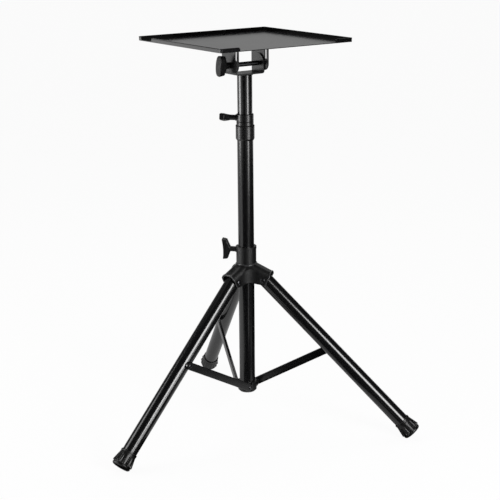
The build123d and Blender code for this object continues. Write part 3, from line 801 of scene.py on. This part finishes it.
def crossed(head_r, base):
    """Wave that sinks a cross into the dome above a base height: two bars at right angles, whose soft
    edges come from a steep ramp."""
    def sink(radius, height, angle):
        x, y = radius * np.cos(angle) / head_r, radius * np.sin(angle) / head_r
        ramp = lambda value: np.clip(value / CROSS_EDGE + 0.5, 0, 1)
        bar = lambda a, b: ramp(CROSS_LENGTH - np.abs(a)) * ramp(CROSS_WIDTH - np.abs(b))
        inside = np.maximum(bar(x, y), bar(y, x)) * (height > base)
        return radius, height - inside * CROSS_DEPTH * (1 - CROSS_RISE * np.hypot(x, y))
    return sink


print("rows on a head:", len(dome_profile(1.0, 1.0)))

# %% Leg screws
LEG_SCREW_R = 3.0
LEG_HEAD_R = 6.0
LEG_HEAD_T = 2.4
ARM_HALF = 21.2
SHANK_TUCK = 0.1


def both_heads(radius, height, angle):
    """The cross on the head at each end: the same wave, mirrored about the middle."""
    side = np.sign(height)
    radius, depth = crossed(LEG_HEAD_R, ARM_HALF + HEAD_SKIRT)(radius, np.abs(height), angle)
    return radius, side * depth


head = dome_profile(LEG_HEAD_R, LEG_HEAD_T) + np.array([0, ARM_HALF])
half_screw = np.concatenate([head, [(LEG_SCREW_R, ARM_HALF - SHANK_TUCK)]])
leg_screw_profile = np.concatenate([half_screw, half_screw[::-1] * np.array([1, -1])])
for name in LEGS:
    pivot, outward, pin, down = leg_axes(name)
    points = carried_round(pivot, axes_about(pin, down), leg_screw_profile, SCREW_COLUMNS, both_heads)
    screw = solid_from_grid(f"leg_screw_{name}", points, dark_steel)
    stands_for(screw, "hub", f"leg_pin_{name}")
print("leg screw faces:", len(screw.data.polygons))

# %% Profile of a strut's screw
STRUT_INNER = 19.6
STRUT_T = 6.0
STRUT_WALL = 1.5
STRUT_PIN_R = 2.5
STRUT_HEAD_R = 4.6
STRUT_HEAD_T = 2.2
SPACER_R = 6.0
SPACER_START = 18.0
SPACER_ROUNDS = [0.1, 0.4, 0.5]
strut_outer = STRUT_INNER + STRUT_T
strut_web = strut_outer - STRUT_WALL
strut_head = dome_profile(STRUT_HEAD_R, STRUT_HEAD_T) + np.array([0, strut_outer])
spacer = [
    (STRUT_PIN_R, strut_outer - SHANK_TUCK), (STRUT_PIN_R, strut_web), (SPACER_R, strut_web),
    (SPACER_R, SPACER_START), (0, SPACER_START),
]
strut_screw_profile = np.concatenate([strut_head, round_corners(spacer, SPACER_ROUNDS)])
strut_cross = crossed(STRUT_HEAD_R, strut_outer + HEAD_SKIRT)
print("rows on a strut's screw:", len(strut_screw_profile))

# %% Profile of a strut's rivet
RIVET_START = 14.8
RIVET_GAP = 0.3
RIVET_STEPS = 14
DIMPLE_R = 1.2
DIMPLE_DEPTH = 0.5
rivet_base = strut_outer + RIVET_GAP
rivet_head = dome_profile(STRUT_HEAD_R, STRUT_HEAD_T, RIVET_STEPS) + np.array([0, rivet_base])
rivet_shank = [(STRUT_PIN_R, rivet_base - SHANK_TUCK), (STRUT_PIN_R, RIVET_START), (0, RIVET_START)]
rivet_profile = np.concatenate([rivet_head, rivet_shank])


def dimpled(radius, height, angle):
    """The set's mark in a rivet: a shallow dimple in the middle of its dome, a bell curve of the radius."""
    dimple = DIMPLE_DEPTH * np.exp(-((radius / DIMPLE_R) ** 2))
    return radius, height - dimple * (height > rivet_base)


print("rows on a strut's rivet:", len(rivet_profile))

# %% Strut screws and rivets
STRUT_POINT = 234.7
RIVET_COLUMNS = 48
for name in LEGS:
    pivot, outward, pin, down = leg_axes(name)
    top = pivot + down * STRUT_POINT
    points = carried_round(top, axes_about(pin, down), strut_screw_profile, SCREW_COLUMNS, strut_cross)
    screw = solid_from_grid(f"strut_top_screw_{name}", points, dark_steel)
    stands_for(screw, f"strut_{name}", f"strut_screw_{name}")
    foot = np.array(joints[f"strut_fold_{name}"]["pos_m"]) / MM - pin * STRUT_INNER
    points = carried_round(foot, axes_about(pin, down), rivet_profile, RIVET_COLUMNS, dimpled)
    rivet = solid_from_grid(f"strut_rivet_{name}", points, dark_steel)
    stands_for(rivet, "column", f"strut_pin_{name}")
print("strut screw faces:", len(screw.data.polygons), "rivet faces:", len(rivet.data.polygons))

# %% [markdown]
# ## Wing knobs
# Three moulded knobs clamp the stand: two T-shaped ones with a hollowed face, and a fuller oval one on
# the tilt bolt. A knob changes from a round neck to a long wing without an edge, so it is a stack of
# superellipses: the two half widths and the exponent follow the height, an exponent of 2 giving the
# round neck and a higher one the blunt wing.

# %% Knob shape
WING_DEPTH = 19.5
WING_ROUND = 1.2
WING_SLANT = 2.0
WAIST_POWER = 1.2
FOOT_ROUND = 0.5
END_LIFT, END_STEP_OUT = 0.6, 0.5
ROUND_POWER = 2.0
BLUNT_FROM = 2.0
WAIST_STEPS, END_STEPS, CROWN_STEPS = 16, 7, 9
FACE_SHARES = np.array([0.8, 0.6, 0.4, 0.2, 0.1, 0])
CLAMP_WING = {
    "half": 26.5, "thickness": 18.6, "end": 11.5, "power": 8.0, "thinning": 0.15, "hollow": 3.0,
    "neck_r": 6.4,
}
TILT_WING = {
    "half": 24.0, "thickness": 21.0, "end": 14.5, "power": 3.2, "thinning": 0.0, "hollow": -2.0,
    "neck_r": 7.5,
}


def knob_rows(wing, neck):
    """Rows of (half length, half thickness, exponent, height) from the neck's foot to the outer face.
    The waist widens as a power of the height from neck to wing, nearly straight, the thickness grows
    evenly to the face, and the crown is a quarter round into the face."""
    face = neck + WING_DEPTH
    waist_top = face - wing["end"]
    neck_r, whole = wing["neck_r"], wing["half"]
    inner = whole - WING_SLANT
    s = np.linspace(0, 1, WAIST_STEPS)
    t = np.linspace(0, pi / 2, CROWN_STEPS)
    crown = WING_ROUND * (1 - np.cos(t))
    height = np.concatenate([
        [0, 0, FOOT_ROUND],
        neck + (waist_top - neck) * s,
        np.linspace(waist_top + END_LIFT, face - WING_ROUND, END_STEPS)[:-1],
        face - WING_ROUND + WING_ROUND * np.sin(t),
        np.full(len(FACE_SHARES), face),
    ])
    length = np.concatenate([
        [0, neck_r - FOOT_ROUND, neck_r],
        neck_r + (inner - neck_r) * s**WAIST_POWER,
        np.linspace(inner + END_STEP_OUT, whole, END_STEPS)[:-1],
        whole - crown,
        (whole - WING_ROUND) * FACE_SHARES,
    ])
    thick = np.interp(height, [neck, face], [neck_r, wing["thickness"] / 2])
    thick[:3] = length[:3]
    flat = len(FACE_SHARES)
    thick[-flat - CROWN_STEPS:-flat] -= crown
    thick[-flat:] = thick[-flat - 1] * FACE_SHARES
    power = np.interp(height, [neck, waist_top + BLUNT_FROM], [ROUND_POWER, wing["power"]])
    return length, thick, power, height


def knob_points(wing, origin, axes, neck, columns=128):
    """Points of the stack: the superellipse's cosine and sine are raised to 2 over the exponent, the
    wing thins towards its tips and its face is hollowed or domed, with the square of the way along it."""
    across, beside, along = axes
    length, thick, power, height = (row[:, None] for row in knob_rows(wing, neck))
    angle = np.linspace(0, 2 * pi, columns, endpoint=False)[None, :]
    bent = lambda wave: np.sign(wave) * np.abs(wave) ** (ROUND_POWER / power)
    x = length * bent(np.cos(angle))
    way = (x / wing["half"]) ** 2
    y = thick * bent(np.sin(angle)) * (1 - wing["thinning"] * way)
    outer = np.clip((height - neck - WING_DEPTH + wing["end"]) / wing["end"], 0, 1)
    z = height - wing["hollow"] * (1 - way) * outer
    return np.array(origin, float) + x[..., None] * across + y[..., None] * beside + z[..., None] * along


print("rows on a knob:", len(knob_rows(CLAMP_WING, WING_DEPTH)[0]))

# %% The three knobs
# Shape, joint, body, length of the neck in millimetres and turn of the wing in degrees
KNOBS = {
    "collar": (CLAMP_WING, "collar_knob_turn", "collar_clamp", 13.0, 78.0),
    "hub": (CLAMP_WING, "hub_knob_turn", "hub_clamp", 13.0, 10.0),
    "tilt": (TILT_WING, "tilt_knob_turn", "tilt_clamp", 8.5, 8.0),
}
for name, (wing, joint, body, neck, turned) in KNOBS.items():
    centre = np.array(joints[joint]["pos_m"]) / MM
    axis = np.array(joints[joint]["axis"], float)
    seat = span_along(f"{name}_knob", centre, axis)[0]
    level = np.cross(UP, axis)
    wing_way = UP * cos(radians(turned)) + level * sin(radians(turned))
    points = knob_points(wing, centre + axis * seat, axes_about(axis, wing_way), neck)
    knob = solid_from_grid(f"{name}_wing_knob", points, moulding)
    stands_for(knob, body, f"{name}_knob")
print("knob faces:", len(knob.data.polygons))

# %% [markdown]
# ## Hemmed tray edge
# The tray is folded sheet, and its raw edge would cut. On the real one the lip's edge is rolled over
# into a small round hem that also runs down the rounded ends of the lips. A curve with a bevel could
# make it. Here it is a bead carried along the middle of the lip, made like the other pieces, and
# outwards is found by clamping each place to the tray's inner rectangle.

# %% Tray hems
TRAY_LIP_T = 1.5
TRAY_CORNER = 4.0
HEM_R = 1.15
FRONT_LIP = 50.0
NOTCH_FROM_CORNER = 13.5
NOTCH_W = 44.0
LIP_END_ROUND = 5.0
HEM_STEPS = 9
tray_low, tray_high = node_points("tray_pan").min(axis=0), node_points("tray_pan").max(axis=0)
lip_x, lip_y = tray_high[:2] - TRAY_LIP_T / 2
hem_z = tray_high[2] - HEM_R
floor_z = tray_low[2] + TRAY_LIP_T
front_x = tray_high[0] - FRONT_LIP
notch_back = tray_high[1] - NOTCH_FROM_CORNER
notch_front = notch_back - NOTCH_W
HEM_PATHS = {
    "long": [
        (front_x, -lip_y, floor_z), (front_x, -lip_y, hem_z), (lip_x, -lip_y, hem_z), (lip_x, lip_y, hem_z),
        (-lip_x, lip_y, hem_z), (-lip_x, notch_back, hem_z), (-lip_x, notch_back, floor_z),
    ],
    "short": [
        (-lip_x, notch_front, floor_z), (-lip_x, notch_front, hem_z), (-lip_x, -lip_y, hem_z),
        (-front_x, -lip_y, hem_z), (-front_x, -lip_y, floor_z),
    ],
}
for name, corners in HEM_PATHS.items():
    bends = [LIP_END_ROUND, *[TRAY_CORNER - TRAY_LIP_T / 2] * (len(corners) - 4), LIP_END_ROUND]
    path = round_corners(corners, bends, HEM_STEPS)
    inner = np.array([lip_x, lip_y]) - TRAY_CORNER
    outward = np.zeros_like(path)
    outward[:, :2] = path[:, :2] - np.clip(path[:, :2], -inner, inner)
    hem = solid_from_grid(f"tray_hem_{name}", carried_along(path, outward, HEM_R), tray_coat)
    stands_for(hem, "tray")
print("hem faces:", len(hem.data.polygons))

# %% [markdown]
# ## Rims of the hub's hoods
# The moulded hub ends in three hoods, and the mouth of each has a thickened rim that stiffens it and
# catches the light. Its path runs up one slanted edge, over the rounded roof and down the other side.
# Where the cut is near the roof, the roof's round draws the edge inwards, so the half width follows a
# quarter ellipse of the depth below the roof.

# %% Hood rims
ARM_REACH = 17.0
ARM_END_RISE = 18.5
ARM_END_LIP = 9.0
ARM_FOOT_OUT = 6.0
ARM_FOOT_DROP = 12.0
ARM_ROUND = 15.0
ROOF_SLOPE = radians(25.5)
RIM_R = 1.2
EDGE_STEPS, ROOF_STEPS = 24, 14


def hood_rim_path(pivot_r):
    """Half of the mouth's edge, from its foot to the middle of the roof, as (out, aside, up) from the
    column's axis and the pivot's height."""
    mouth_r = pivot_r + ARM_REACH
    foot_r = pivot_r + ARM_FOOT_OUT
    drop = ARM_ROUND / cos(ROOF_SLOPE)
    u = np.linspace(0, 1, EDGE_STEPS)
    out = foot_r + (mouth_r - foot_r) * u
    up = -ARM_FOOT_DROP + (ARM_END_RISE - ARM_END_LIP + ARM_FOOT_DROP) * u
    below = np.minimum((ARM_END_RISE + (mouth_r - out) * np.tan(ROOF_SLOPE) - up) / drop, 1)
    aside = ARM_HALF - ARM_ROUND + ARM_ROUND * np.sqrt(1 - (1 - below) ** 2)
    last = np.arccos(1 - ARM_END_LIP / drop)
    turn = np.linspace(last, 0, ROOF_STEPS)[1:]
    arc = ARM_HALF - ARM_ROUND + ARM_ROUND * np.sin(turn)
    rise = ARM_END_RISE - drop * (1 - np.cos(turn))
    edge = np.stack([out, aside, up], axis=1)
    roof = np.stack([np.full_like(turn, mouth_r), arc, rise], axis=1)
    return np.concatenate([edge, roof])


for name in LEGS:
    pivot, outward, pin, down = leg_axes(name)
    half = hood_rim_path(np.hypot(pivot[0], pivot[1]))
    local = np.concatenate([half, half[::-1] * np.array([1, -1, 1])])
    axis_foot = np.array([0.0, 0.0, pivot[2]])
    path = axis_foot + local @ np.stack([outward, pin, UP])
    # The rim's lighter colour is a painted highlight.
    rim = solid_from_grid(f"hood_rim_{name}", carried_along(path, path - pivot, RIM_R), highlit_rubbed_moulding)
    stands_for(rim, "hub")
print("rim faces:", len(rim.data.polygons))

# %% [markdown]
# ## Shoulder of the hub
# Where the hoods grow out of the hub's sleeve, the moulding has a soft raised line that rises over each
# hood and sinks between two of them. Rounding the CAD mesh there would need its edges found first, so a
# bead lies along the line instead: its height round the sleeve is that of the surface that meets it.

# %% Shoulder of the hub
HUB_R = 24.0
SHOULDER_R = 1.7
SHOULDER_LIFT = 0.3
SHOULDER_STEPS = 361
WEB_TOP = 35.2


def shoulder_height(out, aside, pivot_r):
    """Height above the pivot of what meets the sleeve: the sloping roof, less the quarter ellipse of
    its rounded side, but never lower than the top of the web between two hoods."""
    drop = ARM_ROUND / cos(ROOF_SLOPE)
    past = np.clip((np.abs(aside) - ARM_HALF + ARM_ROUND) / ARM_ROUND, 0, 1)
    ridge = ARM_END_RISE + (pivot_r + ARM_REACH - out) * np.tan(ROOF_SLOPE)
    return np.maximum(ridge - drop * (1 - np.sqrt(1 - past**2)), WEB_TOP)


pivot, outward, pin, down = leg_axes("rear")
around = np.linspace(-pi, pi, SHOULDER_STEPS)
from_arm = (around + pi / 3) % (2 * pi / 3) - pi / 3
out, aside = HUB_R * np.cos(from_arm), HUB_R * np.sin(from_arm)
rise = shoulder_height(out, aside, np.hypot(pivot[0], pivot[1]))
ring = np.cos(around)[:, None] * outward + np.sin(around)[:, None] * pin
path = ring * (HUB_R + SHOULDER_LIFT) + UP * (pivot[2] + rise + SHOULDER_LIFT)[:, None]
# The shoulder's lighter colour is a painted highlight.
shoulder = solid_from_grid("hub_shoulder", carried_along(path, ring, SHOULDER_R), highlit_rubbed_moulding)
stands_for(shoulder, "hub")
print("shoulder faces:", len(shoulder.data.polygons))

# %% [markdown]
# ## Collar gasket
# Where the collar's clamp ring stands on its sleeve, a thin rubber gasket shows as a fine black line. A
# torus would be too round for it, so a small section with rounded corners is carried round the column.

# %% Gasket
GASKET_R = 20.3
GASKET_WIDTH = 1.9
GASKET_T = 2.2
GASKET_TUCK = 0.1
GASKET_ROUNDS = [0.2, 0.5]
GASKET_COLUMNS = 96
gasket_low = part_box("collar_ring")[0].z / MM
gasket_high = gasket_low + GASKET_T
gasket_out = GASKET_R + GASKET_WIDTH
gasket_section = round_corners(
    [(GASKET_R, gasket_low), (gasket_out, gasket_low), (gasket_out, gasket_high),
     (GASKET_R - GASKET_TUCK, gasket_high)],
    GASKET_ROUNDS,
)
gasket_points = carried_round((0, 0, 0), axes_about(UP, SIDEWAYS), gasket_section, GASKET_COLUMNS)
gasket = solid_from_grid("collar_gasket", gasket_points, gasket_rubber, wrap_rows=True)
stands_for(gasket, "column")
print("gasket faces:", len(gasket.data.polygons))

# %% [markdown]
# ## Weld and tilt bolt
# The yoke is welded on the upper tube, and the bead shows as a row of small overlapping scales: a ring
# whose thickness ripples with the angle. The bolt through yoke and hanger has a hexagon head with a
# turned chamfer, which is the polar form of a hexagon, the flat's half width over the cosine of the
# angle from the flat's middle.

# %% Weld bead
WELD_R = 18.2
WELD_SIZE = 2.1
WELD_SCALES = 34
WELD_RIPPLE = 0.12
WELD_SLANT = 0.5
WELD_DROP = 0.5
WELD_ROWS, WELD_COLUMNS = 408, 16
around = np.linspace(0, 2 * pi, WELD_ROWS, endpoint=False)[:, None]
section = np.linspace(0, 2 * pi, WELD_COLUMNS, endpoint=False)[None, :]
scales = np.abs(np.sin(WELD_SCALES * around / 2 + WELD_SLANT * np.cos(section)))
ripple = WELD_SIZE * (1 + WELD_RIPPLE * scales)
reach = WELD_R + ripple * np.cos(section)
weld_z = node_points("yoke").min(axis=0)[2] - WELD_DROP + ripple * np.sin(section)
weld_points = np.stack([reach * np.cos(around), reach * np.sin(around), weld_z], axis=-1)
weld = solid_from_grid("yoke_weld", weld_points, satin_coat, wrap_rows=True)
stands_for(weld, "mast")
print("weld faces:", len(weld.data.polygons))

# %% Tilt bolt
BOLT_R = 5.5
BOLT_FLAT = 8.5
BOLT_HEAD_T = 7.0
BOLT_THREAD_R = 4.0
BOLT_THREAD_LENGTH = 17.0
BOLT_ROUNDS = [0.4, 0.4, 0.8]
BOLT_STEPS = 4
BOLT_COLUMNS = 96
# The head's end is dished inside its first two radii, flat to the third and chamfered to the flats
DISH_R, DISH_EDGE_R, FACE_R = 6.6, 7.2, 8.0
DISH_DEPTH = 0.4
DISH_ROUND = 0.3
CHAMFER = 0.9
HEAD_BREAK = 0.3
UNDERCUT = 0.05
ROW_MARGIN = 0.1
tilt_centre = np.array(joints["tray_tilt"]["pos_m"]) / MM
bolt_end, bolt_top = span_along("tilt_bolt", tilt_centre, SIDEWAYS)
head_low = bolt_top - BOLT_HEAD_T
thread_start = bolt_end + BOLT_THREAD_LENGTH
dish = bolt_top - DISH_DEPTH
head_end = [(0, dish), (DISH_R, dish), (DISH_EDGE_R, bolt_top), (FACE_R, bolt_top)]
head_side = [
    (BOLT_FLAT, bolt_top - CHAMFER), (BOLT_FLAT, head_low + HEAD_BREAK), (BOLT_FLAT - HEAD_BREAK, head_low),
]
shank = [
    (BOLT_R, head_low - UNDERCUT), (BOLT_R, thread_start), (BOLT_THREAD_R, thread_start),
    (BOLT_THREAD_R, bolt_end), (0, bolt_end),
]
bolt_profile = np.concatenate([
    round_corners(head_end, DISH_ROUND, BOLT_STEPS), head_side, round_corners(shank, BOLT_ROUNDS, BOLT_STEPS),
])


def hexagon(radius, height, angle):
    """Flats on the head's rows that are as wide as the flat: the radius grows to the corners as one over
    the cosine, and the chamfer's rows stay round."""
    from_flat = (angle + pi / 6) % (pi / 3) - pi / 6
    wide = radius > BOLT_FLAT - HEAD_BREAK - ROW_MARGIN
    on_side = (height > head_low - ROW_MARGIN) & (height < bolt_top - CHAMFER + ROW_MARGIN)
    return np.where(wide & on_side, radius / np.cos(from_flat), radius), height


points = carried_round(tilt_centre, axes_about(SIDEWAYS, UP), bolt_profile, BOLT_COLUMNS, hexagon)
bolt = solid_from_grid("hex_tilt_bolt", points, dark_steel)
stands_for(bolt, "mast", "tilt_bolt")
print("bolt faces:", len(bolt.data.polygons))
